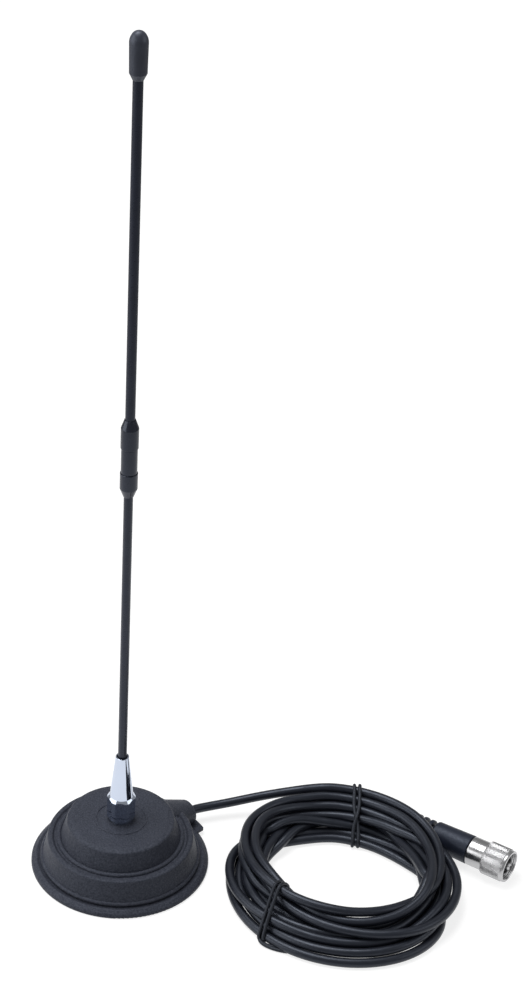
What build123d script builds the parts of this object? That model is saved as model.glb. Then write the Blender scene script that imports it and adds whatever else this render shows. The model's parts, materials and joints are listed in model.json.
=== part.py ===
from build123d import *
import os
from math import cos, pi, radians, sin, sqrt, tan

os.makedirs("parts", exist_ok=True)

# Clearances shared by the pieces that fit in one another
fit_clear = 0.05       # screwed, pressed or glued pieces
slide_clear = 0.1      # pieces that go together by hand
turn_clear = 0.08      # the turning ring on the plug body
seat_clear = 0.3       # pieces that only lie beside each other

# Magnet and the pressed steel shell round it, which set the size of the base
magnet_radius = 29.8
magnet_bore_radius = 15.0
magnet_gap = 0.6
magnet_recess = 0.4
sheet_thickness = 1.6
shell_height = 8.8
brim_width = 8.0
liner_thickness = 0.8
liner_margin = 3.0
pole_margin = 2.0
pole_screw_radius = 2.0
pole_screw_head_radius = 3.8
pole_screw_head_height = 2.4
pole_screw_cross = 4.2
pole_screw_slot = 0.9
pole_screw_slot_depth = 1.2

# Moulded cover of the base, measured out from the shell's wall
rim_margin = 4.5
rim_height = 2.2
flange_height = 4.1
flange_groove_offset = 11.0
flange_groove_depth = 0.6
foot_offset = 9.6
foot_bead_height = 5.0
foot_bead_radius = 1.15
shelf_offset = 6.8
shelf_height = 17.7
shelf_lip_width = 2.5
shelf_groove_depth = 0.9
wall_bead_offset = 0.75
wall_bead_height = 17.1
wall_bead_radius = 1.3
upper_foot_offset = 0.1
disc_inset = 3.5
disc_height = 29.0
disc_edge_width = 3.0
disc_edge_drop = 0.6
cover_wall = 2.4
boss_ring_radius = 14.3
boss_ring_width = 1.6
boss_ring_height = 0.35

# Cable outlet and lift tab, both on the diagonal between +X and +Y
outlet_angle = 45
outlet_overhang = 1.7
outlet_root_inset = 2.0
outlet_root_drop = 14.4
outlet_root_share = 0.67   # radius of the outlet's root against its height
outlet_height = 7.8
outlet_radius = 6.9
outlet_mouth_radius = 3.7
outlet_mouth_depth = 2.6
outlet_joint_depth = 5.9
tab_overhang = 3.6
tab_half_width = 12.2
tab_bottom = 1.9
tab_top = 3.6
tab_root_inset = 8.0

# Insulated contact stud
insulator_radius = 10.0
insulator_neck_height = 3.0
insulator_neck_inset = 1.4
stud_radius = 4.0
stud_flange_across = 15.0
stud_flange_height = 2.0
stud_spigot_radius = 5.0
stud_spigot_length = 2.6
tag_radius = 6.8
tag_thickness = 0.6
tag_reach = 14.2
tag_width = 4.0
tag_end_margin = 1.6
nut_across = 13.0
nut_height = 3.0

# Coaxial cable
cable_radius = 2.5
core_radius = 0.9
braid_radius = 0.8
cable_over_shell = 0.9
cable_drop_start = 0.2
cable_drop_end = 6.8
strip_length = 3.4
lead_spread = 1.3           # core and screen lie this far over and under the cable's axis
clamp_inset = 6.6
clamp_length = 6.0
clamp_width = 9.0
clamp_ear = 4.6
clamp_ear_height = 2.4
clamp_wall = 1.4
clamp_screw_radius = 1.25
clamp_screw_head_radius = 1.9
clamp_screw_head_height = 1.4
clamp_screw_slot = 0.6
clamp_screw_slot_depth = 0.65

# Chromed adaptor that carries the whip
adaptor_radius = 7.5
adaptor_across_flats = 14.0
adaptor_neck_radius = 6.0
adaptor_neck_height = 2.1
hex_length = 12.5
hex_chamfer_height = 1.5
cone_base_radius = 6.25
cone_length = 25.5
cone_top_radius = 3.55
adaptor_stud_depth = 8.6
adaptor_web = 9.0
ferrule_radius = 2.85
ferrule_length = 15.4
ferrule_floor = 2.0

# Whip
rod_radius = 1.2
winding_thickness = 0.3
lower_sleeve_radius = 2.34
upper_sleeve_radius = 2.475
lower_whip_reach = 161.4
lower_collar_length = 13.6
coupling_sleeve_length = 14.0
upper_collar_length = 16.0
collar_radius = 4.47
collar_chamfer_height = 4.7
coupling_sleeve_radius = 4.1
joint_ferrule_radius = 2.9
joint_ferrule_length = 30.0
joint_web = 4.0
upper_whip_reach = 176.0
cap_length = 23.2
cap_radius = 4.45
cap_base_radius = 4.2
cap_shoulder_height = 3.1
cap_dome_height = 5.6
cap_end_wall = 9.2

# Plug, lying on the surface beside the coil
plug_x = 189.2
plug_y = 13.3
plug_heading = -31.0
ring_radius = 9.3
ring_neck_radius = 8.0
ring_neck_length = 9.4
ring_length = 23.4
ring_lip_radius = 8.9
ring_lip_length = 1.8
ring_bore_radius = 7.35
ring_seat = 10.4
body_radius = 5.9
body_bore_radius = 4.75
body_rear_length = 18.0
body_flange_radius = 7.0
body_flange_length = 2.0
body_front_length = 21.6
body_notch_width = 2.2
body_notch_depth = 1.8
body_notch_count = 4
plug_insulator_front = 15.0
pin_radius = 1.98
pin_length = 23.6
pin_rear = 6.0
boot_radius = 8.0
boot_rear_radius = 7.5
boot_length = 23.0
boot_gap = 0.5
barb_step = 0.4             # the body is this much slimmer inside the boot
relief_rib_radius = 7.0
relief_groove_radius = 4.6
relief_rib_width = 2.4
relief_rib_pitch = 4.2
relief_rib_count = 3
tail_length = 10.0
tail_seat = 10.0            # depth of the cable in the plug body

# Coil of cable: centre in X and Y, then half axes along X and Y, of its outer and inner edges
coil_height = 20.3
coil_outer_base = (119.5, -15.3, 63.5, 62.0)
coil_outer_top = (121.3, -2.0, 60.5, 53.8)
coil_inner_base = (120.5, -11.5, 42.0, 40.0)
coil_inner_top = (121.3, -3.0, 48.5, 44.0)
coil_edge = 1.6
notch_room = 0.6
notch_reach = 40.0

# Wire ties round the coil, each in an upright plane: a point inside the ring, and a heading
tie_radius = 0.9
tie_bend = 1.3
rear_tie = (126.5, 10.0, 90.0)
front_tie = (98.3, -21.0, 242.0)
tie_tail_route = [
    (77.5, -60.2, 1.8),
    (80.0, -64.4, 1.9),
    (88.0, -67.7, 3.3),
    (97.0, -70.0, 5.1),
]

# Free lead from the base outlet to the coil, points chosen along its run
lead_route = [
    (30.62, 30.62, 7.8),
    (35.9, 35.9, 7.8),
    (44.6, 39.9, 7.5),
    (57.0, 43.6, 8.3),
    (74.5, 47.6, 11.2),
    (95.0, 50.6, 14.4),
    (116.0, 48.2, 16.6),
]


def save(shape, node):
    shape.label = node
    export_step(shape, f"parts/{node}.step")


def turned(corners):
    """Solid of revolution about Z from (radius, height, fillet radius) corners."""
    face = make_face(Polyline(*[(r, z) for r, z, _ in corners], close=True).edges())
    for r, z, bend in corners:
        if bend:
            corner = face.vertices().sort_by_distance((r, z, 0))[0]
            face = fillet(corner, bend)
    return revolve(Plane.XZ * face, Axis.Z)


def hexagon(across_flats, bottom, top):
    side = RegularPolygon(across_flats / 2, 6, major_radius=False)
    return extrude(Pos(0, 0, bottom) * side, top - bottom)


def column(radius, bottom, top):
    return Pos(0, 0, bottom) * Cylinder(radius, top - bottom, align=(Align.CENTER, Align.CENTER, Align.MIN))


def tube(outer, inner, bottom, top):
    return column(outer, bottom, top) - column(inner, bottom - 1, top + 1)


def route_wire(points, label):
    """Straight runs joined by arcs as large as 0.45 of the shorter run allows."""
    corners = [Vector(*p) for p in points]
    radii = []
    for before, here, after in zip(corners, corners[1:], corners[2:]):
        turn = (here - before).get_angle(after - here)
        shorter = min((here - before).length, (after - here).length)
        radii.append(0.45 * shorter / tan(radians(turn) / 2))
    wire = FilletPolyline(*corners, radius=radii)
    print(label, "arc radii", [round(r, 1) for r in radii], "length", round(wire.length, 1))
    return wire


def swept(wire, radius, label=""):
    start = Plane(origin=wire @ 0, z_dir=wire % 0)
    solid = sweep(start * Circle(radius), path=wire)
    if label:
        ratio = solid.volume / (pi * radius**2 * wire.length)
        print(label, "volume against section times length", round(ratio, 4))
    return solid


def on_outlet(r, z):
    """Point at distance r from the base axis on the outlet's diagonal."""
    return (r * cos(radians(outlet_angle)), r * sin(radians(outlet_angle)), z)


def outlet_plane(r, z):
    return Plane(origin=on_outlet(r, z), z_dir=(cos(radians(outlet_angle)), sin(radians(outlet_angle)), 0))


# Derived places shared by the base pieces
brim_top = liner_thickness + sheet_thickness
shell_inside = shell_height - sheet_thickness
shell_bore = magnet_radius + magnet_gap
shell_radius = shell_bore + sheet_thickness
shell_brim_radius = shell_radius + brim_width
liner_radius = shell_brim_radius + liner_margin
magnet_bottom = liner_thickness + magnet_recess
rim_radius = liner_radius + rim_margin
foot_radius = shell_radius + foot_offset
flange_groove_radius = shell_radius + flange_groove_offset
shelf_radius = shell_radius + shelf_offset
upper_foot_radius = shell_radius + upper_foot_offset
disc_radius = shell_radius - disc_inset
cavity_top = disc_height - cover_wall
shelf_floor = shelf_height - shelf_groove_depth
outlet_end = rim_radius + outlet_overhang
outlet_root = shell_radius - outlet_root_inset
outlet_root_height = disc_height - outlet_root_drop
outlet_joint = outlet_end - outlet_joint_depth
tab_radius = rim_radius + tab_overhang
tag_bottom = cavity_top - nut_height - tag_thickness
insulator_top = tag_bottom - stud_flange_height
spigot_bottom = insulator_top - stud_spigot_length
pole_screw_end = spigot_bottom - 0.8
stud_top = disc_height + adaptor_stud_depth - 1.0
inner_cable_height = shell_height + cable_radius + cable_over_shell
clamp_place = shell_radius - clamp_inset
inner_cable_end = clamp_place - clamp_length / 2 - 0.5
inner_route = [
    on_outlet(outlet_joint, outlet_height),
    on_outlet(shell_radius + cable_drop_end, outlet_height),
    on_outlet(shell_radius + cable_drop_start, inner_cable_height),
    on_outlet(inner_cable_end, inner_cable_height),
]


def cover_outside():
    """Rim, leaning walls and top disc turned in one profile, with a bead at the foot of each wall."""
    body = turned([
        (0, 0, 0),
        (rim_radius, 0, 0.6),
        (rim_radius, rim_height, 1.6),
        (flange_groove_radius + 1.8, flange_height, 1.0),
        (flange_groove_radius, flange_height - flange_groove_depth, 0.4),
        (foot_radius, flange_height - flange_groove_depth, 0),
        (foot_radius, foot_bead_height, 0),
        (shelf_radius, shelf_height, 1.1),
        (shelf_radius - shelf_lip_width, shelf_height, 0.8),
        (shelf_radius - shelf_lip_width - 0.9, shelf_floor, 0.5),
        (upper_foot_radius, shelf_floor, 0),
        (disc_radius, disc_height - disc_edge_drop, 1.3),
        (disc_radius - disc_edge_width, disc_height, 4.0),
        (0, disc_height, 0),
    ])
    wall_bead = Pos(0, 0, wall_bead_height) * Torus(upper_foot_radius + wall_bead_offset, wall_bead_radius)
    foot_bead = Pos(0, 0, foot_bead_height) * Torus(foot_radius, foot_bead_radius)
    boss = loft([
        outlet_plane(outlet_root, outlet_root_height) * Circle(outlet_root_share * outlet_root_height),
        outlet_plane(outlet_end, outlet_height) * Circle(outlet_radius),
    ])
    rims = boss.edges().filter_by(lambda edge: edge.is_closed)
    boss = fillet(rims.sort_by_distance(on_outlet(outlet_end, outlet_height))[0], 1.2)
    outer = body + wall_bead + foot_bead + boss
    return outer + nut_ring() + lift_tab()


def nut_ring():
    """Thin raised ring round the adaptor."""
    return turned([
        (boss_ring_radius - boss_ring_width, disc_height - 0.5, 0),
        (boss_ring_radius, disc_height - 0.5, 0),
        (boss_ring_radius - 0.3, disc_height + boss_ring_height, 0.2),
        (boss_ring_radius - boss_ring_width + 0.3, disc_height + boss_ring_height, 0.2),
    ])


def lift_tab():
    """Flat tab under the outlet, rounded at its corners and concentric with the rim."""
    reach = tab_radius - shell_radius + tab_root_inset
    outline = Circle(tab_radius) & Rot(0, 0, outlet_angle) * Pos(tab_radius - reach / 2, 0) * Rectangle(
        reach, 2 * tab_half_width)
    tab = extrude(Pos(0, 0, tab_bottom) * outline, tab_top - tab_bottom)
    corners = tab.edges().filter_by(Axis.Z).sort_by_distance((0, 0, 0))[-2:]
    return fillet(corners, 0.9)


def cover_inside():
    """Room for the liner, the shell with its brim, and the contact above them."""
    ceiling = shelf_floor - cover_wall
    return turned([
        (0, -1, 0),
        (liner_radius + slide_clear, -1, 0),
        (liner_radius + slide_clear, liner_thickness, 0),
        (shell_brim_radius + slide_clear, liner_thickness, 0),
        (shell_brim_radius + slide_clear, brim_top, 0),
        (shell_radius + seat_clear, brim_top, 1.2),
        (shell_radius + seat_clear, ceiling, 1.0),
        (upper_foot_radius - cover_wall, ceiling, 1.0),
        (disc_radius - cover_wall, cavity_top, 1.5),
        (0, cavity_top, 0),
    ])


def rubber_cover():
    channel = swept(route_wire(inner_route, "inner cable"), cable_radius + slide_clear)
    exit_bore = outlet_plane(outlet_joint, outlet_height) * Cylinder(
        cable_radius + slide_clear, outlet_end - outlet_joint + 1,
        align=(Align.CENTER, Align.CENTER, Align.MIN))
    mouth = outlet_plane(outlet_end - outlet_mouth_depth, outlet_height) * Cone(
        cable_radius + slide_clear, outlet_mouth_radius, outlet_mouth_depth,
        align=(Align.CENTER, Align.CENTER, Align.MIN))
    stud_hole = column(stud_radius + seat_clear, cavity_top - 1, disc_height + 1)
    return cover_outside() - cover_inside() - channel - exit_bore - mouth - stud_hole


def steel_shell():
    return turned([
        (pole_screw_radius + slide_clear, shell_inside, 0),
        (shell_bore, shell_inside, 1.2),
        (shell_bore, liner_thickness, 0.8),
        (shell_brim_radius, liner_thickness, 0),
        (shell_brim_radius, brim_top, 0.5),
        (shell_radius, brim_top, 0.8),
        (shell_radius, shell_height, 2.4),
        (pole_screw_radius + slide_clear, shell_height, 0),
    ])


def ring_magnet():
    ring = tube(magnet_radius, magnet_bore_radius, magnet_bottom, shell_inside)
    return chamfer(ring.edges().filter_by(GeomType.CIRCLE), 0.8)


def centre_pole():
    pole = column(magnet_bore_radius - pole_margin, magnet_bottom, shell_inside)
    pole -= column(pole_screw_radius + slide_clear, 0, shell_height)
    pole -= column(pole_screw_head_radius + seat_clear, 0, magnet_bottom + pole_screw_head_height)
    return pole


def pole_screw():
    seat = magnet_bottom + pole_screw_head_height
    head = column(pole_screw_head_radius, magnet_bottom, seat)
    head = fillet(head.edges().group_by(Axis.Z)[0], 0.6)
    slots = Rectangle(pole_screw_cross, pole_screw_slot) + Rectangle(pole_screw_slot, pole_screw_cross)
    cross = extrude(Pos(0, 0, magnet_bottom) * slots, pole_screw_slot_depth)
    return head - cross + column(pole_screw_radius, seat, pole_screw_end)


def stud_insulator():
    block = turned([
        (0, shell_height, 0),
        (insulator_radius, shell_height, 0.4),
        (insulator_radius, insulator_top - insulator_neck_height, 1.0),
        (insulator_radius - insulator_neck_inset, insulator_top, 0.5),
        (0, insulator_top, 0),
    ])
    block -= column(pole_screw_radius + fit_clear, 0, pole_screw_end + seat_clear)
    return block - column(stud_spigot_radius + fit_clear, spigot_bottom - slide_clear, insulator_top + 1)


def contact_stud():
    spigot = column(stud_spigot_radius, spigot_bottom, insulator_top)
    flange = hexagon(stud_flange_across, insulator_top, tag_bottom)
    shank = column(stud_radius, tag_bottom, stud_top)
    shank = chamfer(shank.edges().group_by(Axis.Z)[-1], 0.7)
    return spigot + flange + shank


def solder_tag():
    washer = tube(tag_radius, stud_radius + fit_clear, tag_bottom, tag_bottom + tag_thickness)
    tongue_length = tag_reach - stud_radius - 1
    tongue = Pos(stud_radius + 1 + tongue_length / 2, 0, tag_bottom + tag_thickness / 2) * Box(
        tongue_length, tag_width, tag_thickness)
    tongue = fillet(tongue.edges().filter_by(Axis.Z).group_by(Axis.X)[-1], tag_width / 2 - 0.1)
    return washer + Rot(0, 0, outlet_angle) * tongue


def stud_nut():
    bottom = tag_bottom + tag_thickness
    nut = hexagon(nut_across, bottom, cavity_top)
    return nut - column(stud_radius + fit_clear, bottom - 1, cavity_top + 1)


def inner_cable():
    return swept(route_wire(inner_route, "inner cable"), cable_radius)


def core_lead():
    """Centre conductor from the stripped cable end up to the solder tag."""
    start = inner_cable_height + lead_spread
    end = tag_reach - tag_end_margin
    wire = route_wire([
        on_outlet(inner_cable_end, start),
        on_outlet(end + strip_length, start),
        on_outlet(end, (start + tag_bottom) / 2),
        on_outlet(end, tag_bottom),
    ], "core lead")
    return swept(wire, core_radius)


def braid_lead():
    """Twisted screen from the stripped cable end down to the steel shell."""
    start = inner_cable_height - lead_spread
    end = inner_cable_end - strip_length - 1.0
    wire = route_wire([
        on_outlet(inner_cable_end, start),
        on_outlet(end, start),
        on_outlet(end, shell_height),
    ], "braid lead")
    return swept(wire, braid_radius)


def clamp_shape():
    top = inner_cable_height + cable_radius + clamp_wall
    saddle = Pos(clamp_place, 0, (shell_height + top) / 2) * Box(
        clamp_length, clamp_width, top - shell_height)
    saddle = fillet(saddle.edges().filter_by(Axis.X).group_by(Axis.Z)[-1], 2.2)
    ears = Pos(clamp_place, 0, shell_height + clamp_ear_height / 2) * Box(
        clamp_length, clamp_width + 2 * clamp_ear, clamp_ear_height)
    return Rot(0, 0, outlet_angle) * (saddle + ears)


def clamp_screw_places():
    reach = (clamp_width + clamp_ear) / 2
    return [Rot(0, 0, outlet_angle) * Pos(clamp_place, side * reach, 0) for side in (-1, 1)]


def cable_clamp():
    clamp = clamp_shape() - swept(route_wire(inner_route, "inner cable"), cable_radius + fit_clear)
    hole = column(clamp_screw_radius + fit_clear, shell_height - 1, shell_height + clamp_ear_height + 1)
    for place in clamp_screw_places():
        clamp -= place * hole
    return clamp


def clamp_screws():
    top = shell_height + clamp_ear_height
    screws = []
    for place in clamp_screw_places():
        head = column(clamp_screw_head_radius, top, top + clamp_screw_head_height)
        head = fillet(head.edges().group_by(Axis.Z)[-1], 0.5)
        slot = Pos(0, 0, top + clamp_screw_head_height) * Box(
            2 * clamp_screw_head_radius + 1, clamp_screw_slot, 2 * clamp_screw_slot_depth)
        screws.append(place * (head + column(clamp_screw_radius, shell_height, top) - slot))
    return Compound(screws)


def base_liner():
    liner = column(liner_radius, 0, liner_thickness)
    return chamfer(liner.edges().group_by(Axis.Z)[0], 0.25)


# Places along the whip
hex_bottom = disc_height + adaptor_neck_height
cone_base_height = hex_bottom + hex_length + hex_chamfer_height
cone_top_height = cone_base_height + cone_length
socket_bottom = disc_height + adaptor_stud_depth + adaptor_web
ferrule_top = socket_bottom + ferrule_length
coupling_bottom = cone_top_height + lower_whip_reach
lower_collar_top = coupling_bottom + lower_collar_length
upper_collar_bottom = lower_collar_top + coupling_sleeve_length
coupling_top = upper_collar_bottom + upper_collar_length
coupling_middle = (lower_collar_top + upper_collar_bottom) / 2
joint_bottom = coupling_middle - joint_ferrule_length / 2
joint_top = coupling_middle + joint_ferrule_length / 2
lower_rod_top = coupling_middle - joint_web / 2
upper_rod_bottom = coupling_middle + joint_web / 2
cap_bottom = coupling_top + upper_whip_reach
cap_top = cap_bottom + cap_length
cap_bore_top = cap_top - cap_end_wall
upper_rod_top = cap_bore_top - 1.0
winding_radius = rod_radius + winding_thickness


def whip_adaptor():
    """Hexagonal bar with rounded lands, a necked foot, and a long cone that ends in an open cup."""
    outside = turned([
        (0, disc_height, 0),
        (adaptor_neck_radius, disc_height, 0),
        (adaptor_neck_radius, hex_bottom, 0),
        (adaptor_radius - 0.3, hex_bottom, 0),
        (adaptor_radius, hex_bottom + 0.4, 0),
        (adaptor_radius, hex_bottom + hex_length, 0),
        (cone_base_radius, cone_base_height, 0),
        (cone_top_radius, cone_top_height, 0.25),
        (0, cone_top_height, 0),
    ])
    flats = hexagon(adaptor_across_flats, disc_height, cone_base_height)
    flats += column(cone_base_radius + 0.4, cone_base_height, cone_top_height + 1)
    outside &= flats
    outside -= column(stud_radius + fit_clear, disc_height - 1, disc_height + adaptor_stud_depth)
    return outside - column(ferrule_radius + fit_clear, socket_bottom, cone_top_height + 1)


def whip_ferrule():
    body = column(ferrule_radius, socket_bottom, ferrule_top)
    body = chamfer(body.edges().group_by(Axis.Z)[0], 0.4)
    return body - column(rod_radius + fit_clear, socket_bottom + ferrule_floor, ferrule_top + 1)


def rod(bottom, top):
    body = column(rod_radius, bottom, top)
    return chamfer(body.edges().filter_by(GeomType.CIRCLE), 0.2)


def sleeve(outer, bottom, top):
    return tube(outer, winding_radius + fit_clear, bottom, top)


def winding(bottom, top):
    return tube(winding_radius, rod_radius + fit_clear / 2, bottom, top)


def collar(bottom, top, whip_radius, lower):
    """One collar of the coupling, tapered at its outer end on to the whip's sleeve."""
    waist = whip_radius + 0.35
    if lower:
        profile = [
            (waist, bottom, 0.15),
            (collar_radius, bottom + collar_chamfer_height, 0.8),
            (collar_radius, top, 0.3),
        ]
    else:
        profile = [
            (collar_radius, bottom, 0.3),
            (collar_radius, top - collar_chamfer_height, 0.8),
            (waist, top, 0.15),
        ]
    body = turned([(0, bottom, 0), *profile, (0, top, 0)])
    body -= column(whip_radius + fit_clear, bottom - 1, top + 1)
    ferrule_room = column(joint_ferrule_radius + fit_clear, joint_bottom, joint_top)
    return body - ferrule_room


def coupling_lower_collar():
    return collar(coupling_bottom, lower_collar_top, lower_sleeve_radius, True)


def coupling_upper_collar():
    return collar(upper_collar_bottom, coupling_top, upper_sleeve_radius, False)


def coupling_sleeve():
    bore = joint_ferrule_radius + fit_clear
    body = tube(coupling_sleeve_radius, bore, lower_collar_top, upper_collar_bottom)
    return chamfer(body.edges().filter_by(GeomType.CIRCLE).sort_by(SortBy.RADIUS)[-2:], 0.25)


def joint_ferrule():
    body = column(joint_ferrule_radius, joint_bottom, joint_top)
    body = chamfer(body.edges().filter_by(GeomType.CIRCLE), 0.3)
    body -= column(rod_radius + fit_clear, joint_bottom - 1, lower_rod_top)
    return body - column(rod_radius + fit_clear, upper_rod_bottom, joint_top + 1)


def tip_cap():
    dome_start = cap_top - cap_dome_height
    foot = Polyline(
        (0, cap_bottom),
        (upper_sleeve_radius + 0.2, cap_bottom),
        (cap_base_radius, cap_bottom + cap_shoulder_height),
        (cap_radius, dome_start),
    )
    crown = Spline((cap_radius, dome_start), (cap_radius * 0.79, cap_top - cap_dome_height * 0.39),
                   (0, cap_top), tangents=((0, 1), (-1, 0)))
    profile = make_face(foot.edges() + crown.edges() + Line((0, cap_top), (0, cap_bottom)).edges())
    cap = revolve(Plane.XZ * profile, Axis.Z)
    return cap - column(upper_sleeve_radius + fit_clear, cap_bottom - 1, cap_bore_top)


# Plug pieces are made along +X from the rear face of the ring's neck, then laid in place
plug_height = ring_radius
plug_place = Pos(plug_x, plug_y, plug_height) * Rot(0, 0, plug_heading)
relief_length = relief_rib_count * relief_rib_pitch
boot_end = -(boot_length + relief_length)
tail_end = tail_seat - body_rear_length


def along_plug(corners):
    """Solid of revolution about the plug's axis from (radius, place, fillet) corners."""
    return Rot(0, 90, 0) * turned(corners)


def coupling_ring():
    front = ring_length - ring_lip_length
    ring = along_plug([
        (body_radius + turn_clear, 0, 0.3),
        (ring_neck_radius, 0, 0.4),
        (ring_neck_radius, ring_neck_length - 0.6, 0),
        (ring_radius - 0.5, ring_neck_length, 0),
        (ring_radius, ring_neck_length + 0.5, 0),
        (ring_radius, front - 0.5, 0),
        (ring_lip_radius, front, 0),
        (ring_lip_radius, ring_length, 0.5),
        (ring_bore_radius, ring_length, 0.3),
        (ring_bore_radius, ring_seat, 0),
        (body_radius + turn_clear, ring_seat, 0),
    ])
    return plug_place * ring


def plug_body():
    flange_start = ring_seat + turn_clear
    body = along_plug([
        (0, -body_rear_length, 0),
        (body_radius - barb_step, -body_rear_length, 0.3),
        (body_radius - barb_step, -boot_gap, 0),
        (body_radius, -boot_gap, 0),
        (body_radius, flange_start, 0),
        (body_flange_radius, flange_start, 0),
        (body_flange_radius, flange_start + body_flange_length, 0.3),
        (body_radius, flange_start + body_flange_length, 0),
        (body_radius, body_front_length, 0.3),
        (0, body_front_length, 0),
    ])
    body -= Rot(0, 90, 0) * column(cable_radius + fit_clear, -body_rear_length - 1, pin_rear)
    body -= Rot(0, 90, 0) * column(body_bore_radius, pin_rear, body_front_length + 1)
    for number in range(body_notch_count):
        notch = Pos(body_front_length - body_notch_depth / 2 + 0.5, 0, body_radius) * Box(
            body_notch_depth + 1, body_notch_width, 4)
        body -= Rot(360 / body_notch_count * (number + 0.5), 0, 0) * notch
    return plug_place * body


def plug_insulator():
    disc = along_plug([
        (pin_radius + fit_clear, pin_rear, 0),
        (body_bore_radius - fit_clear, pin_rear, 0.2),
        (body_bore_radius - fit_clear, plug_insulator_front, 0.4),
        (pin_radius + fit_clear, plug_insulator_front, 0),
    ])
    return plug_place * disc


def centre_pin():
    pin = along_plug([
        (0, pin_rear, 0),
        (pin_radius, pin_rear, 0),
        (pin_radius, pin_length, 1.2),
        (0, pin_length, 0),
    ])
    solder_well = Rot(0, 90, 0) * column(0.9, pin_length - 6, pin_length + 1)
    return plug_place * (pin - solder_well)


def plug_boot():
    profile = [
        (cable_radius + fit_clear, boot_end, 0),
        (relief_rib_radius, boot_end, 0.7),
    ]
    for number in range(relief_rib_count):
        rib_end = boot_end + number * relief_rib_pitch + relief_rib_width
        radius = relief_rib_radius
        profile.append((radius, rib_end, 0.7))
        profile.append((relief_groove_radius, rib_end, 0.4))
        profile.append((relief_groove_radius, boot_end + (number + 1) * relief_rib_pitch, 0.4))
        if number < relief_rib_count - 1:
            profile.append((radius, boot_end + (number + 1) * relief_rib_pitch, 0.7))
    profile += [
        (boot_rear_radius, -boot_length, 1.2),
        (boot_radius, -boot_gap, 0.5),
        (body_radius - barb_step + fit_clear, -boot_gap, 0),
        (body_radius - barb_step + fit_clear, -body_rear_length - slide_clear, 0),
        (cable_radius + fit_clear, -body_rear_length - slide_clear, 0),
    ]
    return plug_place * along_plug(profile)


def cable_tail():
    """Straight end of the cable from the coil through the boot to the plug body."""
    return plug_place * Rot(0, 90, 0) * column(cable_radius, boot_end - tail_length, tail_end)


def ellipse_level(level, shape):
    x, y, across, along = shape
    return Pos(x, y, level) * Ellipse(across, along)


def coil_body():
    """Ring with leaning sides that the stacked turns fill."""
    outer = loft([ellipse_level(0, coil_outer_base), ellipse_level(coil_height, coil_outer_top)])
    inner = loft([ellipse_level(0, coil_inner_base), ellipse_level(coil_height, coil_inner_top)])
    ring = outer - inner
    return fillet(ring.edges().filter_by(lambda edge: edge.is_closed).group_by(Axis.Z)[-1], coil_edge)


def boot_notch():
    """Room for the boot and its ribs under the top turns, open to the outside."""
    notch = None
    for start, end, radius in (
        (boot_end - 1.0, -boot_length, relief_rib_radius + notch_room),
        (-boot_length - 1.0, boot_length, boot_radius + notch_room),
    ):
        place = plug_place * Pos(start, 0, 0)
        bar = place * Rot(0, 90, 0) * column(radius, 0, end - start)
        side = place * Pos((end - start) / 2, notch_reach / 2, (radius - plug_height) / 2) * Box(
            end - start, notch_reach, plug_height + radius)
        notch = bar + side if notch is None else notch + bar + side
    return notch


def reach_of(tie, shape):
    """Distance along a tie's heading from its inner point to an ellipse."""
    x, y, heading = tie
    centre_x, centre_y, across, along = shape
    ux, uy = cos(radians(heading)), sin(radians(heading))
    dx, dy = x - centre_x, y - centre_y
    a = (ux / across) ** 2 + (uy / along) ** 2
    b = 2 * (ux * dx / across**2 + uy * dy / along**2)
    c = (dx / across) ** 2 + (dy / along) ** 2 - 1
    return (-b + sqrt(b * b - 4 * a * c)) / (2 * a)


def tie_point(tie, reach, level):
    x, y, heading = tie
    return (x + reach * cos(radians(heading)), y + reach * sin(radians(heading)), level)


def tie_loop(tie):
    """Closed loop of wire round the coil's section."""
    room = tie_radius + slide_clear
    return FilletPolyline(
        tie_point(tie, reach_of(tie, coil_inner_base) - room, tie_radius),
        tie_point(tie, reach_of(tie, coil_outer_base) + room, tie_radius),
        tie_point(tie, reach_of(tie, coil_outer_top) + room, coil_height + room),
        tie_point(tie, reach_of(tie, coil_inner_top) - room, coil_height + room),
        radius=tie_bend, close=True)


def rear_tie_wire():
    return swept(tie_loop(rear_tie), tie_radius)


def tie_tail():
    return route_wire(tie_tail_route, "tie tail")


def front_tie_wire():
    """Loop with its twisted ends laid along the coil's side."""
    return swept(tie_loop(front_tie), tie_radius) + swept(tie_tail(), tie_radius)


def cable_lead():
    return swept(route_wire(lead_route, "lead"), cable_radius, "lead")


def cable_coil():
    room = cable_radius + slide_clear
    coil = coil_body() - boot_notch()
    coil -= swept(route_wire(lead_route, "lead"), room)
    coil -= plug_place * Rot(0, 90, 0) * column(room, boot_end - tail_length, 0)
    for tie in (rear_tie, front_tie):
        coil -= swept(tie_loop(tie), tie_radius + slide_clear)
    return coil - swept(tie_tail(), tie_radius + slide_clear)


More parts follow.
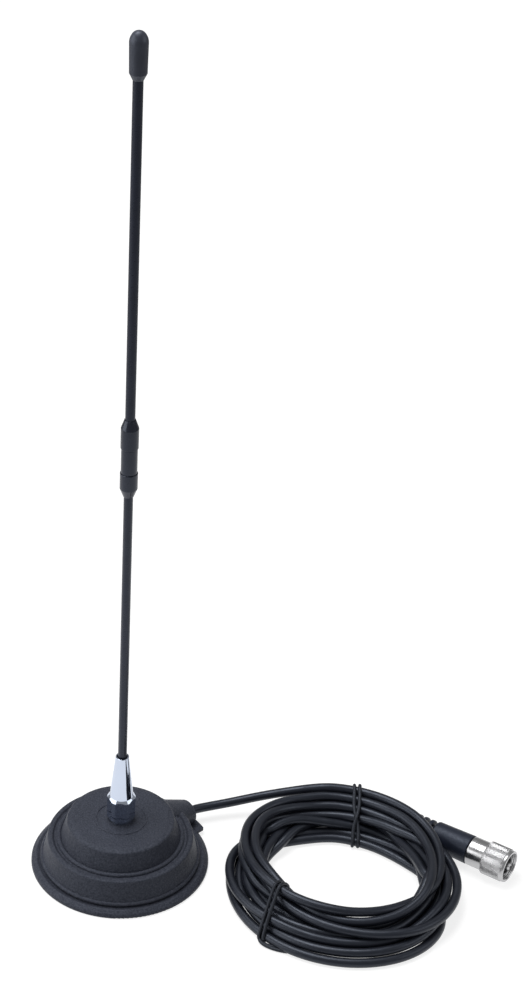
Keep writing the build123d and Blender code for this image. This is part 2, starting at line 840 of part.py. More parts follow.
pieces = {
    "rubber_cover": rubber_cover,
    "steel_shell": steel_shell,
    "ring_magnet": ring_magnet,
    "centre_pole": centre_pole,
    "pole_screw": pole_screw,
    "stud_insulator": stud_insulator,
    "contact_stud": contact_stud,
    "solder_tag": solder_tag,
    "stud_nut": stud_nut,
    "inner_cable": inner_cable,
    "core_lead": core_lead,
    "braid_lead": braid_lead,
    "cable_clamp": cable_clamp,
    "clamp_screws": clamp_screws,
    "base_liner": base_liner,
    "whip_adaptor": whip_adaptor,
    "whip_ferrule": whip_ferrule,
    "lower_rod": lambda: rod(socket_bottom + ferrule_floor, lower_rod_top),
    "lower_winding": lambda: winding(ferrule_top, joint_bottom),
    "lower_sleeve": lambda: sleeve(lower_sleeve_radius, ferrule_top, joint_bottom),
    "coupling_lower_collar": coupling_lower_collar,
    "coupling_sleeve": coupling_sleeve,
    "coupling_upper_collar": coupling_upper_collar,
    "joint_ferrule": joint_ferrule,
    "upper_rod": lambda: rod(upper_rod_bottom, upper_rod_top),
    "upper_winding": lambda: winding(joint_top, upper_rod_top - 4),
    "upper_sleeve": lambda: sleeve(upper_sleeve_radius, joint_top, upper_rod_top - 1),
    "tip_cap": tip_cap,
    "cable_lead": cable_lead,
    "cable_coil": cable_coil,
    "rear_tie": rear_tie_wire,
    "front_tie": front_tie_wire,
    "cable_tail": cable_tail,
    "plug_boot": plug_boot,
    "plug_body": plug_body,
    "coupling_ring": coupling_ring,
    "plug_insulator": plug_insulator,
    "centre_pin": centre_pin,
}

for node, make in pieces.items():
    save(make(), node)
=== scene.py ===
import json
from math import cos, pi, radians, sin

import bmesh
import bpy
import numpy as np
from mathutils import Matrix, Vector


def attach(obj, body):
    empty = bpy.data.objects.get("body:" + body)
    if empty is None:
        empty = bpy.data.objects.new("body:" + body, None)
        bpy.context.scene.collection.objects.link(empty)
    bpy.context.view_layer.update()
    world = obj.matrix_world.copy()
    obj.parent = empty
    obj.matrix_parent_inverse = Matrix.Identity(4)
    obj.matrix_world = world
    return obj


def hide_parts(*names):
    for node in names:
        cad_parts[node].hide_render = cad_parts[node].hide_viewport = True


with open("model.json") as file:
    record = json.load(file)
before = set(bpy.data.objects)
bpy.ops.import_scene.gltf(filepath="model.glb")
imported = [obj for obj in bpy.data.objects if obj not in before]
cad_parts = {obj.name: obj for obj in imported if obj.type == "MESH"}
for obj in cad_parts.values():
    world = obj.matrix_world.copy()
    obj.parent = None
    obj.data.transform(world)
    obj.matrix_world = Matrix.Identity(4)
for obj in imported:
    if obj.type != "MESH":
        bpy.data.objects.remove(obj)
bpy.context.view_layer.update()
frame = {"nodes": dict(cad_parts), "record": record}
nodes = frame["nodes"]
slot_of = {row["node"]: row["material_slot"] for row in frame["record"]["subparts"]}

BODY = "antenna"
RING_BODY = "plug_ring"

# Camera at the photograph's place and angle
CAMERA_PLACE = (0.06697, -1.07625, 0.91578)
CAMERA_DOWN = 32.35         # degrees below level
CAMERA_ROLL = 3.24          # degrees
SENSOR_WIDTH = 36           # millimetres
LENS = 93.6                 # millimetres
VIEW_REACH = 20             # metres

# Cable: the model's route to the coil, and the run from the coil into the boot
CABLE_RADIUS = 0.0025
THICK = 2 * CABLE_RADIUS
LEAD = [
    (0.03062, 0.03062, 0.0078),
    (0.0359, 0.0359, 0.0078),
    (0.0446, 0.0399, 0.0075),
    (0.0570, 0.0436, 0.0083),
    (0.0745, 0.0476, 0.0112),
    (0.0950, 0.0506, 0.0144),
]
TAIL = [
    (0.1501, 0.0368, 0.0093),
    (0.1587, 0.0316, 0.0093),
    (0.1658, 0.0273, 0.0093),
    (0.1729, 0.0231, 0.0093),
]

# Turns of the coil in the order they are wound: left x, right x, rear y, front y, height
TURNS = np.array([
    (0.0655, 0.1715, 0.0500, -0.0520, 0.0180),
    (0.0695, 0.1670, 0.0455, -0.0560, 0.0155),
    (0.0680, 0.1815, 0.0425, -0.0605, 0.0120),
    (0.0568, 0.1785, 0.0385, -0.0650, 0.0090),
    (0.0660, 0.1770, 0.0355, -0.0700, 0.0060),
    (0.0605, 0.1755, 0.0330, -0.0750, 0.0025),
    (0.0675, 0.1700, 0.0340, -0.0700, 0.0025),
    (0.0700, 0.1735, 0.0395, -0.0655, 0.0045),
    (0.0690, 0.1685, 0.0440, -0.0610, 0.0030),
    (0.0690, 0.1670, 0.0430, -0.0610, 0.0075),
    (0.0665, 0.1690, 0.0490, -0.0530, 0.0080),
    (0.0690, 0.1675, 0.0465, -0.0570, 0.0105),
])
TURN_STEPS = 40
FIRST_ANGLE = radians(104)
LAST_ANGLE = radians(60)
CHANGE_SHARE = 0.2          # part of each turn in which it goes over to the next one's place
COIL_MIDDLE = 0.12
COIL_SKEW = -0.11           # the turns lie a little turned, so their left side is further back

# Wavers of the hand-wound turns: size, waves in a turn, and their shift from turn to turn
SIDE_WAVERS = ((0.0007, 2, 1.7), (0.0005, 3, 2.9))
HEIGHT_WAVER = (0.0006, 2, 2.3)

# Settling of the turns, with reaches in cable diameters
SETTLE_ROUNDS = 500
SEARCH_EVERY = 10           # rounds from one search for near strands to the next
SEARCH_REACH = 2.4
PULL_REACH = 1.5
CROSSING_REACH = 0.7
BESIDE_SHARE = 0.7          # two points lie beside each other within this share of the spacing
PUSH_SHARE = 0.45           # part of an overlap that each round takes away
PULL_SHARE = 0.004          # part of a gap that each round closes
FIXED_PUSH_SHARE = 0.9
SINK = 0.00001              # drop in each round
SMOOTHING = 0.05            # part that each neighbour's shift has in a point's own
HOLD = 0.994                # share of its shift that a point keeps in each round
OWN_STEPS = 6               # points this near along the cable are no neighbours
END_STEPS = 9               # points at each end that may touch the lead or the tail
HELD_STEPS = 2              # points at each end that don't move
BOOT_STEPS = 5              # points at the end that may enter the boot's room
LEAST_DISTANCE = 1e-5
ROUTE_STEP = 0.003

# Plug: its axis starts at the rear face of the ring's neck
PLUG_PLACE = Matrix.Translation((0.1892, 0.0133, 0.0093)) @ Matrix.Rotation(radians(-31), 4, "Z")
BOOT_ROOM = ((-0.0356, -0.0230, 0.0072), (-0.0230, 0.0230, 0.0082))  # start, end, radius
BOOT_MARGIN = 0.003
LEAST_RADIUS = 1e-6
RING_NECK = (0.0080, 0.0094)           # radius, length
RING_KNURL = (0.0093, 0.0099, 0.0211)  # radius, start, end
RING_LIP = (0.0089, 0.0216, 0.0234)    # radius, start, end
RING_BORE = (0.00735, 0.0104)          # radius, seat
RING_REAR_BORE = 0.00598
NECK_ROWS_START = 0.0010
NECK_ROWS_END = 0.0008                 # short of the neck's length
NECK_ROW_STEP = 0.002
BORE_EDGE = 0.0003
REAR_EDGE = 0.0004
LIP_EDGE = 0.0005
SMALL_EDGE = 0.0002
BROKEN_EDGE = 0.0001
KNURL_COUNT = 58
KNURL_PITCH = 0.001
KNURL_DEPTH = 0.00032
KNURL_COLUMNS = 6                      # columns of faces in each pitch round the ring
PITCH_ROWS = 4                         # rows of faces in each pitch of knurl or thread
THREAD_START = 0.0110
THREAD_PITCH = 0.00106
THREAD_DEPTH = 0.0003

# Wire ties: a point inside the coil, a heading from there through it, and the wire's way round.
# Its rounds lie a spread to each side of that plane and change sides amid the crossed angles.
TIE_RADIUS = 0.00095
TIE_STEP = 0.003
TIE_ANGLES = 36             # places where the strands' outline is felt in each round
TIE_CROSSING = 0.009        # half the length over which the two rounds change sides
TIE_LIFT = 1.8 * TIE_RADIUS  # rise of one round over the other where they cross
REAR_TIE = {
    "place": (0.1265, 0.0100),
    "heading": radians(90),
    "start": radians(-70),
    "rounds": 2.1,
    "spread": 0.0015,
    "crossed": np.radians((95, 235)),
    "lean": 0.0,
}
FRONT_TIE = {
    "place": (0.0983, -0.0210),
    "heading": radians(242),
    "start": radians(-80),
    "rounds": 2.0,
    "spread": 0.0013,
    "crossed": np.radians((170, 280)),
    "lean": -0.16,
}
FRONT_LOW_END = [
    (0.0925, -0.0640, 0.0012),
    (0.0880, -0.0636, 0.0011),
    (0.0835, -0.0630, 0.0011),
    (0.0795, -0.0618, 0.0012),
]
FRONT_HIGH_END = [
    (0.0765, -0.0585, 0.0020),
    (0.0785, -0.0615, 0.0012),
    (0.0830, -0.0640, 0.0010),
    (0.0875, -0.0655, 0.0009),
    (0.0915, -0.0662, 0.0010),
]

# Wires and arrises
WIRE_ROUNDNESS = 5
CABLE_RESOLUTION = 5
TIE_RESOLUTION = 4
RING_ARRIS = 32             # degrees
NODE_ARRIS = 28             # degrees

# Pieces whose look differs from the rest of their slot
OWN_MATERIAL = {"tip_cap": "cap_rubber"}

# Noise values between which a look goes from one end to the other, and tint of the black gloss
NOISE_START = 0.3
NOISE_END = 0.7
BLACK_GLOSS = (0.76, 0.84, 1, 1)

# Turning marks of the plating: how close they lie along each axis, and the plug's turn onto x
CHROME_MARKS = (1, 1, 30)
NICKEL_MARKS = (40, 2, 2)
PLUG_TURN = (0, 0, radians(31))

# Floor: tones at a near and a far distance from the middle, to the eye and in mirrored rays
FLOOR_GAP = 0.0002
FLOOR_REACH = 6
FLOOR_COLOUR = (0.35, 0.35, 0.35)
SEEN_FLOOR = {"near": 0.5, "far": 2.5, "low": 0.78, "high": 1.0}
MIRRORED_FLOOR = {"near": 0.22, "far": 0.65, "low": 0.78, "high": 0.12}

# World strength in mirrored rays, and as a light
MIRRORED_WORLD = 0.32
DIM_WORLD = 0.2

# Lamps: name, place, point aimed at, size, power
LAMPS = (
    ("top", (-0.35, 0.3, 1.85), (0.05, 0.0, 0.1), (1.2, 0.9), 23),
    ("left", (-1.15, -0.3, 0.6), (0.05, 0.0, 0.25), (1.4, 1.0), 9),
    ("right", (1.2, -0.2, 0.8), (0.0, 0.0, 0.35), (1.0, 0.7), 2.8),
)


def link(name, data):
    """New object in the scene."""
    thing = bpy.data.objects.new(name, data)
    bpy.context.scene.collection.objects.link(thing)
    return thing


def add_camera():
    """Camera that shows the object as the photograph does."""
    data = bpy.data.cameras.new("camera")
    data.sensor_width = SENSOR_WIDTH
    data.lens = LENS
    data.clip_end = VIEW_REACH
    tilt = Matrix.Rotation(radians(90 - CAMERA_DOWN), 4, "X")
    roll = Matrix.Rotation(radians(CAMERA_ROLL), 4, "Z")
    camera = link("camera", data)
    camera.matrix_world = Matrix.Translation(CAMERA_PLACE) @ (tilt @ roll)
    bpy.context.scene.camera = camera


# Cable and coil
def smooth(share):
    """Smooth step from 0 to 1."""
    share = np.clip(share, 0, 1)
    return share * share * (3 - 2 * share)


def waver(row, angle, turn):
    """Shift of a turn out of its even line at an angle."""
    size, waves, shift = row
    return size * sin(waves * angle + shift * turn)


def wound_turns():
    """Centre line of the coil before it settles."""
    sweep = (len(TURNS) - 1) * 2 * pi + FIRST_ANGLE - LAST_ANGLE
    count = int(sweep / (2 * pi) * TURN_STEPS)
    points = []
    for n in range(count + 1):
        gone = sweep * n / count
        turn = min(int(gone / (2 * pi)), len(TURNS) - 1)
        after = min(turn + 1, len(TURNS) - 1)
        change = smooth((gone / (2 * pi) - turn - (1 - CHANGE_SHARE)) / CHANGE_SHARE)
        left, right, rear, front, height = TURNS[turn] * (1 - change) + TURNS[after] * change
        angle = FIRST_ANGLE - gone
        wander = sum(waver(row, angle, turn) for row in SIDE_WAVERS)
        x = (left + right) / 2 + ((right - left) / 2 + wander) * cos(angle)
        y = (rear + front) / 2 + ((rear - front) / 2 + wander) * sin(angle)
        y += COIL_SKEW * (x - COIL_MIDDLE)
        points.append((x, y, height + waver(HEIGHT_WAVER, angle, turn)))
    return np.array(points)


def clear_of_boot(points):
    """Moves points out of the plug's boot, across its axis."""
    inverse = np.array(PLUG_PLACE.inverted())
    local = points @ inverse[:3, :3].T + inverse[:3, 3]
    for start, end, radius in BOOT_ROOM:
        inside = (local[:, 0] > start - BOOT_MARGIN) & (local[:, 0] < end + BOOT_MARGIN)
        distance = np.linalg.norm(local[:, 1:], axis=1)
        short = np.where(inside, radius + CABLE_RADIUS - distance, 0)
        short = np.where(short > 0, short / np.maximum(distance, LEAST_RADIUS), 0)
        local[:, 1:] *= 1 + short[:, None]
    back = np.array(PLUG_PLACE)
    return local @ back[:3, :3].T + back[:3, 3]


def between(route):
    """Places along the straight runs of a route, for other strands to keep clear of."""
    places = []
    for start, end in zip(np.array(route), np.array(route)[1:]):
        count = int(np.linalg.norm(end - start) / ROUTE_STEP) + 1
        places += [start + (end - start) * n / count for n in range(count)]
    return np.array(places)


def near_pairs(points, apart):
    """Numbers of the points that lie near each other but apart along the cable."""
    gap = points[None, :, :] - points[:, None, :]
    near = apart & (np.einsum("ijk,ijk->ij", gap, gap) < (SEARCH_REACH * THICK) ** 2)
    return np.nonzero(near)


def strand_moves(points, first, second, spacing):
    """Moves of each pair's first point, out of a strand it lies in or towards one close by."""
    along = np.gradient(points, axis=0)
    along /= np.linalg.norm(along, axis=1)[:, None]
    gap = points[second] - points[first]
    ahead = (gap * along[first]).sum(1)
    aside = gap - ahead[:, None] * along[first]
    # Strands that cross are pushed apart in height, by the order in which they are wound
    crossing = np.maximum(CROSSING_REACH * THICK - np.linalg.norm(aside, axis=1), 0)
    aside[:, 2] += np.sign(second - first) * crossing
    distance = np.maximum(np.linalg.norm(aside, axis=1), LEAST_DISTANCE)
    beside = np.abs(ahead) < BESIDE_SHARE * spacing
    close = beside & (distance > THICK) & (distance < PULL_REACH * THICK)
    push = np.where(beside & (distance < THICK), (THICK - distance) / distance, 0)
    pull = np.where(close, 1 - THICK / distance, 0)
    return (PULL_SHARE * pull - PUSH_SHARE * push)[:, None] * aside


def fixed_moves(points, fixed, may_touch):
    """Moves of each point out of the nearest place of the lead or the tail."""
    away = points[:, None, :] - fixed[None, :, :]
    distance = np.maximum(np.linalg.norm(away, axis=2), LEAST_DISTANCE)
    push = np.where(may_touch | (distance > THICK), 0, (THICK - distance) / distance)
    nearest = (np.arange(len(points)), push.argmax(axis=1))
    return FIXED_PUSH_SHARE * push[nearest][:, None] * away[nearest]


def settled(points):
    """Turns pushed apart and drawn together. Where turns cross, some still lie in each other."""
    rest = points.copy()
    number = np.arange(len(points))
    apart = np.abs(number[:, None] - number[None, :]) > OWN_STEPS
    lead, tail = between(LEAD), between(TAIL)
    fixed = np.vstack([lead, tail])
    may_touch = np.zeros((len(points), len(fixed)), bool)
    may_touch[:END_STEPS, :len(lead)] = True
    may_touch[-END_STEPS:, len(lead):] = True
    spacing = np.linalg.norm(np.diff(points, axis=0), axis=1).mean()
    for step in range(SETTLE_ROUNDS):
        if step % SEARCH_EVERY == 0:
            first, second = near_pairs(points, apart)
        moved = points.copy()
        np.add.at(moved, first, strand_moves(points, first, second, spacing))
        moved += fixed_moves(points, fixed, may_touch)
        moved[:, 2] -= SINK
        shift = moved - rest
        shift[1:-1] = (1 - 2 * SMOOTHING) * shift[1:-1] + SMOOTHING * (shift[:-2] + shift[2:])
        moved = rest + HOLD * shift
        moved[:-BOOT_STEPS] = clear_of_boot(moved[:-BOOT_STEPS])
        moved[:, 2] = np.maximum(moved[:, 2], CABLE_RADIUS)
        moved[:HELD_STEPS] = rest[:HELD_STEPS]
        moved[-HELD_STEPS:] = rest[-HELD_STEPS:]
        points = moved
    return points


def curve(name, points, radius, resolution):
    """Round wire along one smooth open spline, whose points carry its radius."""
    data = bpy.data.curves.new(name, "CURVE")
    data.dimensions = "3D"
    spline = data.splines.new("NURBS")
    spline.points.add(len(points) - 1)
    for point, place in zip(spline.points, points):
        point.co = (*place, 1)
        point.radius = radius
    spline.order_u = 3
    spline.use_endpoint_u = True
    data.resolution_u = resolution
    data.bevel_depth = 1
    data.bevel_resolution = WIRE_ROUNDNESS
    data.use_fill_caps = True
    wire = link(name, data)
    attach(wire, BODY)
    return wire


def add_cable():
    """Cable as one spline, and the settled line of its coil."""
    coil = settled(wound_turns())
    cable = curve("cable", np.vstack([LEAD, coil, TAIL]), CABLE_RADIUS, CABLE_RESOLUTION)
    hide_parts("cable_lead", "cable_coil", "cable_tail")
    return cable, coil


# Wire ties
def strands_at(line, place, heading):
    """Places (reach, height) where the cable passes a tie's upright plane."""
    x, y = place
    ux, uy = cos(heading), sin(heading)
    aside = (line[:, 1] - y) * ux - (line[:, 0] - x) * uy
    reach = (line[:, 0] - x) * ux + (line[:, 1] - y) * uy
    hits = np.nonzero((aside[:-1] * aside[1:] <= 0) & (reach[:-1] > 0))[0]
    share = aside[hits] / (aside[hits] - aside[hits + 1])
    near = np.stack([reach, line[:, 2]], axis=1)
    return near[hits] * (1 - share[:, None]) + near[hits + 1] * share[:, None]


def tie_points(line, place, heading, start, rounds, spread, crossed, lean):
    """Rounds of wire drawn tight over the strands, which go over each other between two angles."""
    x, y = place
    ux, uy = cos(heading), sin(heading)
    strands = strands_at(line, place, heading)
    angles = start + np.linspace(0, rounds * 2 * pi, int(rounds * TIE_ANGLES))
    outward = np.stack([np.cos(angles), np.sin(angles)], axis=1)
    farthest = strands[(strands @ outward.T).argmax(axis=0)]
    ring = farthest + outward * (CABLE_RADIUS + TIE_RADIUS)
    gone = np.concatenate([[0], np.cumsum(np.linalg.norm(np.diff(ring, axis=0), axis=1))])
    once = np.interp(start + 2 * pi, angles, gone)
    middle = np.interp(crossed, angles, gone).mean()
    points = []
    for way in np.linspace(0, gone[-1], int(gone[-1] / TIE_STEP)):
        past = (way - middle) / TIE_CROSSING
        past_again = past - once / TIE_CROSSING
        aside = spread * (2 * smooth(0.5 + past / 2) - 2 * smooth(0.5 + past_again / 2) - 1)
        lift = TIE_LIFT * max(1 - abs(past), 0)
        reach = np.interp(way, gone, ring[:, 0] + lift * outward[:, 0])
        height = np.interp(way, gone, ring[:, 1] + lift * outward[:, 1])
        aside += lean * height
        along = (x + reach * ux - aside * uy, y + reach * uy + aside * ux)
        points.append((*along, max(height, TIE_RADIUS)))
    return points


def add_ties(line):
    rear = curve("rear_wire_tie", tie_points(line, **REAR_TIE), TIE_RADIUS, TIE_RESOLUTION)
    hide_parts("rear_tie")
    front_line = [*FRONT_LOW_END, *tie_points(line, **FRONT_TIE), *FRONT_HIGH_END]
    front = curve("front_wire_tie", front_line, TIE_RADIUS, TIE_RESOLUTION)
    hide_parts("front_tie")
    return rear, front


# Knurled ring of the plug
def wave(turns):
    """Triangle wave from 0 up to 1 and back in each whole turn."""
    return 1 - abs(2 * (turns % 1) - 1)


def knurl(place, share):
    """Radius of the diamond knurl at a place along the axis and a share of the way round."""
    around = share * KNURL_COUNT
    along = place / KNURL_PITCH
    height = min(wave(around + along), wave(around - along))
    return RING_KNURL[0] - KNURL_DEPTH * (1 - height)


def thread(place, share):
    """Radius of the inner thread, in the same terms."""
    depth = 0.5 - 0.5 * cos(2 * pi * (place / THREAD_PITCH - share))
    return RING_BORE[0] + THREAD_DEPTH * depth


def plain(radius):
    """One radius all the way round."""
    return lambda place, share: radius


def even_steps(start, end, step):
    """Places from start to end, about a step apart."""
    count = max(1, round((end - start) / step))
    return [start + (end - start) * n / count for n in range(count + 1)]


def ring_rows():
    """Rows from the rear bore over the outside and back in: place, and radius at each share."""
    neck_radius, neck_length = RING_NECK
    knurl_radius, knurl_start, knurl_end = RING_KNURL
    lip_radius, lip_start, lip_end = RING_LIP
    bore_radius, seat = RING_BORE
    neck_places = even_steps(NECK_ROWS_START, neck_length - NECK_ROWS_END, NECK_ROW_STEP)
    knurl_places = even_steps(knurl_start, knurl_end, KNURL_PITCH / PITCH_ROWS)
    thread_places = even_steps(THREAD_START, lip_end - REAR_EDGE, THREAD_PITCH / PITCH_ROWS)
    return [
        (BORE_EDGE, plain(RING_REAR_BORE)),
        (0.0, plain(RING_REAR_BORE + BORE_EDGE)),
        (0.0, plain(neck_radius - REAR_EDGE)),
        (BROKEN_EDGE, plain(neck_radius - BROKEN_EDGE)),
        (REAR_EDGE, plain(neck_radius)),
        *[(place, plain(neck_radius)) for place in neck_places],
        (neck_length - SMALL_EDGE, plain(neck_radius)),
        (neck_length, plain(neck_radius + SMALL_EDGE)),
        (neck_length, plain(knurl_radius - LIP_EDGE)),
        *[(place, knurl) for place in knurl_places],
        (lip_start, plain(lip_radius - BROKEN_EDGE)),
        (lip_start + BROKEN_EDGE, plain(lip_radius)),
        (lip_end - LIP_EDGE, plain(lip_radius)),
        (lip_end - BROKEN_EDGE, plain(lip_radius - SMALL_EDGE)),
        (lip_end, plain(lip_radius - LIP_EDGE)),
        (lip_end, plain(bore_radius + REAR_EDGE)),
        *[(place, thread) for place in reversed(thread_places)],
        (seat, plain(bore_radius + SMALL_EDGE)),
        (seat, plain(RING_REAR_BORE)),
    ]


def add_ring():
    columns = KNURL_COUNT * KNURL_COLUMNS
    mesh = bmesh.new()
    rows = []
    for place, radius_at in ring_rows():
        row = []
        for n in range(columns):
            radius = radius_at(place, n / columns)
            angle = 2 * pi * n / columns
            corner = PLUG_PLACE @ Vector((place, radius * cos(angle), radius * sin(angle)))
            row.append(mesh.verts.new(corner))
        rows.append(row)
    for row, following in zip(rows, rows[1:] + rows[:1]):
        for n in range(columns):
            after = (n + 1) % columns
            mesh.faces.new((row[n], row[after], following[after], following[n]))
    bmesh.ops.recalc_face_normals(mesh, faces=mesh.faces)
    for face in mesh.faces:
        face.smooth = True
    data = bpy.data.meshes.new("knurled_ring")
    mesh.to_mesh(data)
    mesh.free()
    ring = link("knurled_ring", data)
    split_edges(ring, RING_ARRIS)
    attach(ring, RING_BODY)
    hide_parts("coupling_ring")
    return ring


def split_edges(piece, angle):
    """Keeps arrises crisp and the rest smooth."""
    modifier = piece.modifiers.new("arrises", "EDGE_SPLIT")
    modifier.split_angle = radians(angle)


# Materials
def start_material(name, colour, roughness, **sockets):
    """Material with its constants on the shader's own sockets."""
    material = bpy.data.materials.new(name)
    material.use_nodes = True
    shader = material.node_tree.nodes["Principled BSDF"]
    shader.inputs["Base Color"].default_value = (*colour, 1)
    shader.inputs["Roughness"].default_value = roughness
    for socket, value in sockets.items():
        shader.inputs[socket.replace("_", " ")].default_value = value
    return material


def start_black(name, colour, roughness, level):
    """Blue-black surface whose gloss is bluish too."""
    return start_material(
        name, colour, roughness, Specular_IOR_Level=level, Specular_Tint=BLACK_GLOSS)


def shaded(colour, factor):
    """Colour made darker or lighter."""
    return tuple(factor * value for value in colour)


def noise(material, scale, detail, stretch=(1, 1, 1), turn=(0, 0, 0)):
    """Noise over the object's own coordinates, in metres."""
    tree = material.node_tree
    place = tree.nodes.new("ShaderNodeTexCoord")
    mapping = tree.nodes.new("ShaderNodeMapping")
    mapping.inputs["Rotation"].default_value = turn
    mapping.inputs["Scale"].default_value = stretch
    texture = tree.nodes.new("ShaderNodeTexNoise")
    texture.inputs["Scale"].default_value = scale
    texture.inputs["Detail"].default_value = detail
    tree.links.new(place.outputs["Object"], mapping.inputs["Vector"])
    tree.links.new(mapping.outputs["Vector"], texture.inputs["Vector"])
    return texture.outputs["Fac"]


def ranged(tree, value, near, far, low, high):
    """Node that takes a value's range from near to far to one from low to high."""
    node = tree.nodes.new("ShaderNodeMapRange")
    node.inputs["From Min"].default_value = near
    node.inputs["From Max"].default_value = far
    node.inputs["To Min"].default_value = low
    node.inputs["To Max"].default_value = high
    tree.links.new(value, node.inputs["Value"])
    return node


def uneven(material, factor, low, high):
    """Takes the roughness from one value to another with a noise."""
    tree = material.node_tree
    node = ranged(tree, factor, NOISE_START, NOISE_END, low, high)
    tree.links.new(node.outputs["Result"], tree.nodes["Principled BSDF"].inputs["Roughness"])


def tinted(material, factor, low, high, start=NOISE_START, end=NOISE_END):
    """Takes the base colour from one colour to another with a noise."""
    tree = material.node_tree
    ramp = tree.nodes.new("ShaderNodeValToRGB")
    ramp.color_ramp.elements[0].position = start
    ramp.color_ramp.elements[0].color = (*low, 1)
    ramp.color_ramp.elements[1].position = end
    ramp.color_ramp.elements[1].color = (*high, 1)
    tree.links.new(factor, ramp.inputs["Fac"])
    tree.links.new(ramp.outputs["Color"], tree.nodes["Principled BSDF"].inputs["Base Color"])


def embossed(material, height, strength, distance):
    """Adds a bump on top of those that the material has."""
    tree = material.node_tree
    shader = tree.nodes["Principled BSDF"]
    bump = tree.nodes.new("ShaderNodeBump")
    bump.inputs["Strength"].default_value = strength
    bump.inputs["Distance"].default_value = distance
    tree.links.new(height, bump.inputs["Height"])
    if shader.inputs["Normal"].is_linked:
        tree.links.new(shader.inputs["Normal"].links[0].from_socket, bump.inputs["Normal"])
    tree.links.new(bump.outputs["Normal"], shader.inputs["Normal"])


def cover_rubber():
    """Matt moulded rubber with a fine spark-eroded grain."""
    material = start_black("cover_rubber", (0.040, 0.044, 0.060), 0.5, 0.24)
    low, high = (0.028, 0.031, 0.043), (0.056, 0.061, 0.080)
    tinted(material, noise(material, 1100, 2), low, high, start=0.35, end=0.65)
    uneven(material, noise(material, 900, 3), 0.42, 0.58)
    embossed(material, noise(material, 1250, 2), strength=0.8, distance=0.0004)
    embossed(material, noise(material, 420, 2), strength=0.3, distance=0.0003)
    return material


def moulded_plastic(name, colour, roughness, grain=1500, level=0.42):
    """Dark plastic or shrunk sleeve with a faint uneven skin."""
    material = start_black(name, colour, roughness, level)
    tinted(material, noise(material, 90, 3), shaded(colour, 0.85), shaded(colour, 1.18))
    uneven(material, noise(material, 600, 3), roughness - 0.05, roughness + 0.07)
    embossed(material, noise(material, grain, 2), strength=0.25, distance=0.0001)
    embossed(material, noise(material, 150, 1), strength=0.1, distance=0.0001)
    return material


def cable_jacket():
    """Extruded vinyl jacket, satin, with slow waves left by the drum it was wound on."""
    material = start_black("cable_jacket", (0.0105, 0.012, 0.018), 0.36, 0.5)
    low, high = (0.009, 0.0103, 0.0155), (0.0125, 0.0143, 0.021)
    tinted(material, noise(material, 45, 3), low, high)
    uneven(material, noise(material, 260, 3), 0.31, 0.42)
    embossed(material, noise(material, 130, 2), strength=0.3, distance=0.0005)
    embossed(material, noise(material, 1400, 2), strength=0.12, distance=0.0001)
    return material


def plated(name, colour, roughness, stretch, turn=(0, 0, 0)):
    """Bright plating with turning marks across the axis and faint handling haze."""
    material = start_material(name, colour, roughness, Metallic=1.0)
    tinted(material, noise(material, 40, 2), shaded(colour, 0.95), colour)
    uneven(material, noise(material, 220, 4), 0.75 * roughness, 1.4 * roughness)
    embossed(material, noise(material, 30, 2, stretch, turn), strength=0.04, distance=0.0002)
    return material


def raw_metal(name, colour, roughness):
    """Turned or drawn metal without plating shine."""
    material = start_material(name, colour, roughness, Metallic=1.0)
    tinted(material, noise(material, 70, 5), shaded(colour, 0.7), colour)
    uneven(material, noise(material, 500, 4), 0.8 * roughness, 1.25 * roughness)
    embossed(material, noise(material, 900, 3), strength=0.3, distance=0.0001)
    return material


def sintered(name, colour, roughness):
    """Dull mineral or resin surface with visible grain."""
    material = start_material(name, colour, roughness)
    tinted(material, noise(material, 800, 4), shaded(colour, 0.75), colour)
    uneven(material, noise(material, 300, 3), roughness - 0.08, roughness + 0.08)
    embossed(material, noise(material, 1200, 3), strength=0.4, distance=0.0001)
    return material


def make_materials():
    """All materials by slot."""
    return {
        "cover_rubber": cover_rubber(),
        "zinc_steel": raw_metal("zinc_steel", (0.62, 0.64, 0.66), 0.34),
        "ferrite": sintered("ferrite", (0.050, 0.050, 0.054), 0.62),
        "white_plastic": sintered("white_plastic", (0.78, 0.77, 0.73), 0.45),
        "brass": raw_metal("brass", (0.80, 0.60, 0.28), 0.28),
        "copper": raw_metal("copper", (0.85, 0.44, 0.28), 0.30),
        "liner_film": moulded_plastic("liner_film", (0.024, 0.026, 0.030), 0.42),
        "chrome": plated("chrome", (0.58, 0.64, 0.76), 0.06, CHROME_MARKS),
        "glass_fibre": sintered("glass_fibre", (0.70, 0.68, 0.55), 0.40),
        "whip_sleeve": moulded_plastic("whip_sleeve", (0.011, 0.013, 0.024), 0.3, level=0.5),
        "cap_rubber": moulded_plastic("cap_rubber", (0.038, 0.041, 0.056), 0.42, level=0.6),
        "black_plastic": moulded_plastic(
            "black_plastic", (0.010, 0.012, 0.022), 0.18, level=0.6),
        "cable_jacket": cable_jacket(),
        "tie_wire": moulded_plastic("tie_wire", (0.014, 0.015, 0.019), 0.46),
        "boot_plastic": moulded_plastic(
            "boot_plastic", (0.012, 0.015, 0.027), 0.45, grain=1900),
        "nickel": plated("nickel", (0.50, 0.50, 0.51), 0.23, NICKEL_MARKS, PLUG_TURN),
    }


def dress(pieces, materials):
    """Gives each visible piece its material, and the modelled pieces crisp arrises."""
    for name, node in nodes.items():
        node.data.materials.clear()
        node.data.materials.append(materials[OWN_MATERIAL.get(name, slot_of[name])])
        split_edges(node, NODE_ARRIS)
    for piece, slot in pieces:
        piece.data.materials.clear()
        piece.data.materials.append(materials[slot])


# Floor and light
def math_node(tree, operation, first, second):
    """Node whose inputs are outputs of other nodes, or plain numbers."""
    node = tree.nodes.new("ShaderNodeMath")
    node.operation = operation
    for socket, value in zip(node.inputs, (first, second)):
        if isinstance(value, (int, float)):
            socket.default_value = value
        else:
            tree.links.new(value, socket)
    return node.outputs[0]


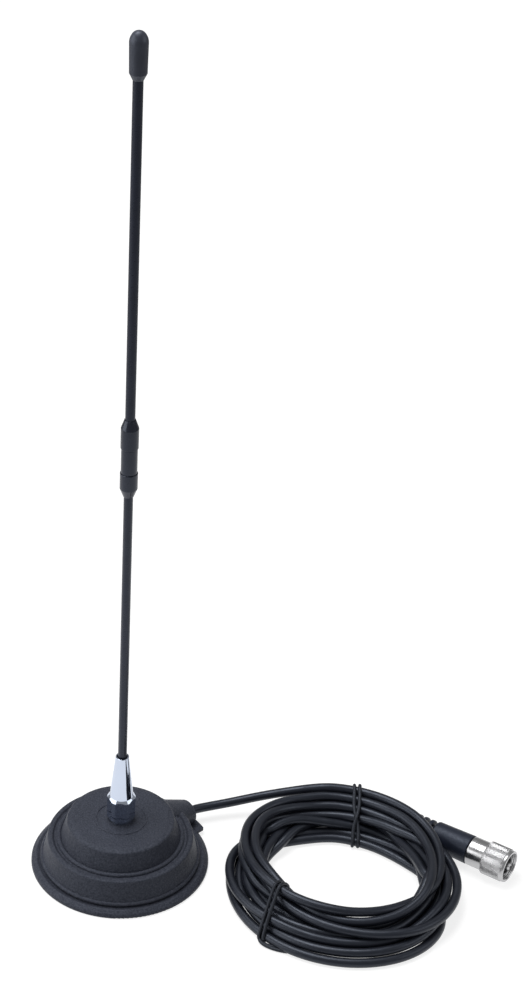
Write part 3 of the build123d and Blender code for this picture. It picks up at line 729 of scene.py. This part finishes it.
def seen_or_mirrored(tree, seen, mirrored):
    """One value for the camera's rays, another for mirrored ones, and 0 for light."""
    rays = tree.nodes.new("ShaderNodeLightPath").outputs
    mirrored_rays = math_node(tree, "MAXIMUM", rays["Is Glossy Ray"], rays["Is Transmission Ray"])
    to_eye = math_node(tree, "MULTIPLY", rays["Is Camera Ray"], seen)
    to_mirror = math_node(tree, "MULTIPLY", mirrored_rays, mirrored)
    return math_node(tree, "MAXIMUM", to_eye, to_mirror)


def faded(tree, distance, tones):
    """Value that goes smoothly from one tone at the near distance to another at the far one."""
    node = ranged(tree, distance, **tones)
    node.interpolation_type = "SMOOTHSTEP"
    return node.outputs["Result"]


def add_floor():
    """White sweep, plain to the eye and open from below. Its reflection fades with distance."""
    mesh = bmesh.new()
    bmesh.ops.create_grid(mesh, x_segments=8, y_segments=8, size=FLOOR_REACH)
    data = bpy.data.meshes.new("floor")
    mesh.to_mesh(data)
    mesh.free()
    floor = link("floor", data)
    floor.location.z = -FLOOR_GAP
    material = start_material("floor", FLOOR_COLOUR, 0.9, Specular_IOR_Level=0.0)
    tree = material.node_tree
    place = tree.nodes.new("ShaderNodeTexCoord")
    length = tree.nodes.new("ShaderNodeVectorMath")
    length.operation = "LENGTH"
    tree.links.new(place.outputs["Object"], length.inputs[0])
    distance = length.outputs["Value"]
    glow = seen_or_mirrored(
        tree, faded(tree, distance, SEEN_FLOOR), faded(tree, distance, MIRRORED_FLOOR))
    shader = tree.nodes["Principled BSDF"]
    shader.inputs["Emission Color"].default_value = (1, 1, 1, 1)
    tree.links.new(glow, shader.inputs["Emission Strength"])
    side = tree.nodes.new("ShaderNodeNewGeometry")
    clear = tree.nodes.new("ShaderNodeBsdfTransparent")
    either = tree.nodes.new("ShaderNodeMixShader")
    tree.links.new(side.outputs["Backfacing"], either.inputs[0])
    tree.links.new(shader.outputs["BSDF"], either.inputs[1])
    tree.links.new(clear.outputs["BSDF"], either.inputs[2])
    tree.links.new(either.outputs[0], tree.nodes["Material Output"].inputs["Surface"])
    data.materials.append(material)


def add_world():
    """White to the eye, pale grey in reflections, and dim as a light."""
    world = bpy.data.worlds.new("world")
    bpy.context.scene.world = world
    world.use_nodes = True
    tree = world.node_tree
    background = tree.nodes["Background"]
    background.inputs["Color"].default_value = (1, 1, 1, 1)
    shown = seen_or_mirrored(tree, 1.0, MIRRORED_WORLD)
    strength = math_node(tree, "MAXIMUM", shown, DIM_WORLD)
    tree.links.new(strength, background.inputs["Strength"])


def add_lamps():
    for name, place, aim, size, power in LAMPS:
        data = bpy.data.lights.new(name, "AREA")
        data.shape = "RECTANGLE"
        data.size, data.size_y = size
        data.energy = power
        lamp = link(name, data)
        lamp.location = place
        towards = Vector(aim) - Vector(place)
        lamp.rotation_euler = towards.to_track_quat("-Z", "Y").to_euler()


add_camera()
cable, coil_line = add_cable()
rear_tie, front_tie = add_ties(coil_line)
ring = add_ring()
new_pieces = [
    (cable, "cable_jacket"),
    (rear_tie, "tie_wire"),
    (front_tie, "tie_wire"),
    (ring, "nickel"),
]
dress(new_pieces, make_materials())
add_floor()
add_world()
add_lamps()
bpy.context.scene.view_settings.view_transform = "Standard"
